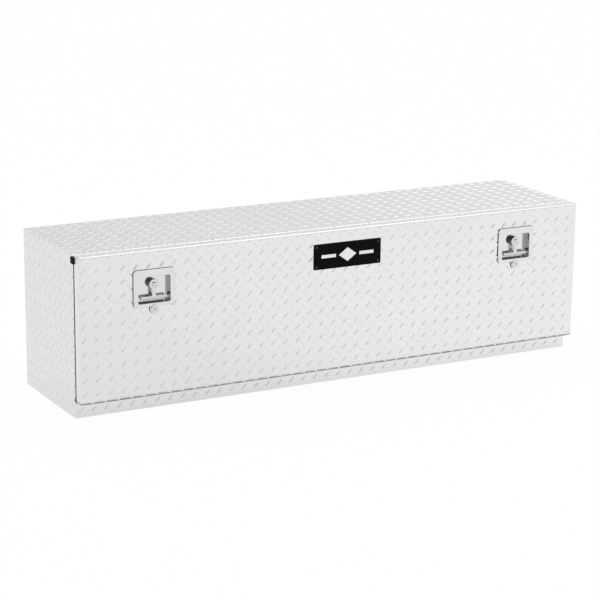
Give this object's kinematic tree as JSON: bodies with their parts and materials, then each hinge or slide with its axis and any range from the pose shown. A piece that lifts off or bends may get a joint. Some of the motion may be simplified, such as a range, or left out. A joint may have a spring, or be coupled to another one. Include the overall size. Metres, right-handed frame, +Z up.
{
  "type": "truck tool box",
  "caption": "Long aluminium tread plate truck tool box with a full-length drop-down door, folding T-handle latches, key locks and slotted door stays.",
  "frame": {"origin": "centre of the case's underside, on its bottom face", "axes": "+X along the box to its right as seen from the door, +Y to the back, +Z up; the door faces -Y"},
  "size_m": [1.532, 0.3875, 0.432],
  "materials": {
    "tread_aluminium": "bright rolled tread plate with raised diagonal lugs",
    "plain_aluminium": "mill finish sheet",
    "rubber": "black sponge rubber, matt",
    "stainless": "polished stainless sheet",
    "bright_stainless": "bright polished",
    "zinc_steel": "clear zinc plate",
    "bronze": "sintered bronze bearing",
    "black_enamel": "gloss black enamel with a plain pale emblem",
    "dark_rivet": "black-coated rivets"
  },
  "bodies": {
    "case": {"top_panel": "tread_aluminium", "back_panel": "tread_aluminium", "floor_panel": "tread_aluminium", "end_panel_left": "tread_aluminium", "end_panel_right": "tread_aluminium", "door_seal": "rubber", "hinge_body_leaf": "stainless", "hinge_pin": "stainless", "hinge_body_rivets": "plain_aluminium", "strike_plates": "zinc_steel", "seal_corner_left": "rubber", "seal_corner_right": "rubber", "seal_foot_left": "rubber", "seal_foot_right": "rubber", "stay_post_left": "zinc_steel", "stay_post_right": "zinc_steel"},
    "door": {"door_pan": "tread_aluminium", "door_lip": "tread_aluminium", "door_stiffener": "plain_aluminium", "hinge_door_leaf": "stainless", "hinge_door_rivets": "plain_aluminium", "badge_plate": "black_enamel", "badge_rivets": "dark_rivet", "latch_plate_left": "stainless", "latch_plate_right": "stainless", "latch_gasket_left": "rubber", "latch_gasket_right": "rubber", "latch_frame_left": "zinc_steel", "latch_frame_right": "zinc_steel", "latch_rivets_left": "stainless", "latch_rivets_right": "stainless", "latch_bushing_left": "bronze", "latch_bushing_right": "bronze", "lock_barrel_left": "bright_stainless", "lock_barrel_right": "bright_stainless", "lock_nut_left": "zinc_steel", "lock_nut_right": "zinc_steel", "stay_bracket_left": "plain_aluminium", "stay_bracket_right": "plain_aluminium", "stay_pin_left": "stainless", "stay_pin_right": "stainless"},
    "stay_left": {"stay_arm_left": "zinc_steel"},
    "latch_hub_left": {"latch_hub_left": "stainless", "handle_pin_left": "stainless", "latch_cam_left": "zinc_steel", "cam_nut_left": "zinc_steel"},
    "handle_left": {"t_handle_left": "bright_stainless"},
    "lock_left": {"lock_plug_left": "bright_stainless", "lock_tail_left": "zinc_steel", "tail_nut_left": "zinc_steel"},
    "stay_right": {"stay_arm_right": "zinc_steel"},
    "latch_hub_right": {"latch_hub_right": "stainless", "handle_pin_right": "stainless", "latch_cam_right": "zinc_steel", "cam_nut_right": "zinc_steel"},
    "handle_right": {"t_handle_right": "bright_stainless"},
    "lock_right": {"lock_plug_right": "bright_stainless", "lock_tail_right": "zinc_steel", "tail_nut_right": "zinc_steel"}
  },
  "joints": [
    {"name": "door_hinge", "type": "hinge", "parent": "case", "child": "door", "pos_m": [0, -0.1765, 0.04075], "axis": [1, 0, 0], "range_deg": [0, 90]},
    {"name": "stay_pivot_left", "type": "hinge", "parent": "door", "child": "stay_left", "pos_m": [-0.731, -0.19, 0.24029], "axis": [1, 0, 0], "range_deg": [-45, 0]},
    {"name": "latch_turn_left", "type": "hinge", "parent": "door", "child": "latch_hub_left", "pos_m": [-0.5555, -0.19, 0.3425], "axis": [0, 1, 0], "range_deg": [0, 90]},
    {"name": "handle_lift_left", "type": "hinge", "parent": "latch_hub_left", "child": "handle_left", "pos_m": [-0.5555, -0.206, 0.3425], "axis": [-1, 0, 0], "range_deg": [0, 90]},
    {"name": "lock_turn_left", "type": "hinge", "parent": "door", "child": "lock_left", "pos_m": [-0.5555, -0.2, 0.2785], "axis": [0, 1, 0], "range_deg": [0, 90]},
    {"name": "stay_pivot_right", "type": "hinge", "parent": "door", "child": "stay_right", "pos_m": [0.731, -0.19, 0.24029], "axis": [1, 0, 0], "range_deg": [-45, 0]},
    {"name": "latch_turn_right", "type": "hinge", "parent": "door", "child": "latch_hub_right", "pos_m": [0.5555, -0.19, 0.3425], "axis": [0, 1, 0], "range_deg": [0, 90]},
    {"name": "handle_lift_right", "type": "hinge", "parent": "latch_hub_right", "child": "handle_right", "pos_m": [0.5555, -0.206, 0.3425], "axis": [-1, 0, 0], "range_deg": [0, 90]},
    {"name": "lock_turn_right", "type": "hinge", "parent": "door", "child": "lock_right", "pos_m": [0.5555, -0.2, 0.2785], "axis": [0, 1, 0], "range_deg": [0, 90]}
  ],
  "couplings": [
    {"joint": "stay_pivot_left", "follows": "door_hinge", "ratio": -0.5},
    {"joint": "latch_turn_left", "follows": "handle_lift_left", "ratio": 1},
    {"joint": "stay_pivot_right", "follows": "door_hinge", "ratio": -0.5},
    {"joint": "latch_turn_right", "follows": "handle_lift_right", "ratio": 1}
  ]
}
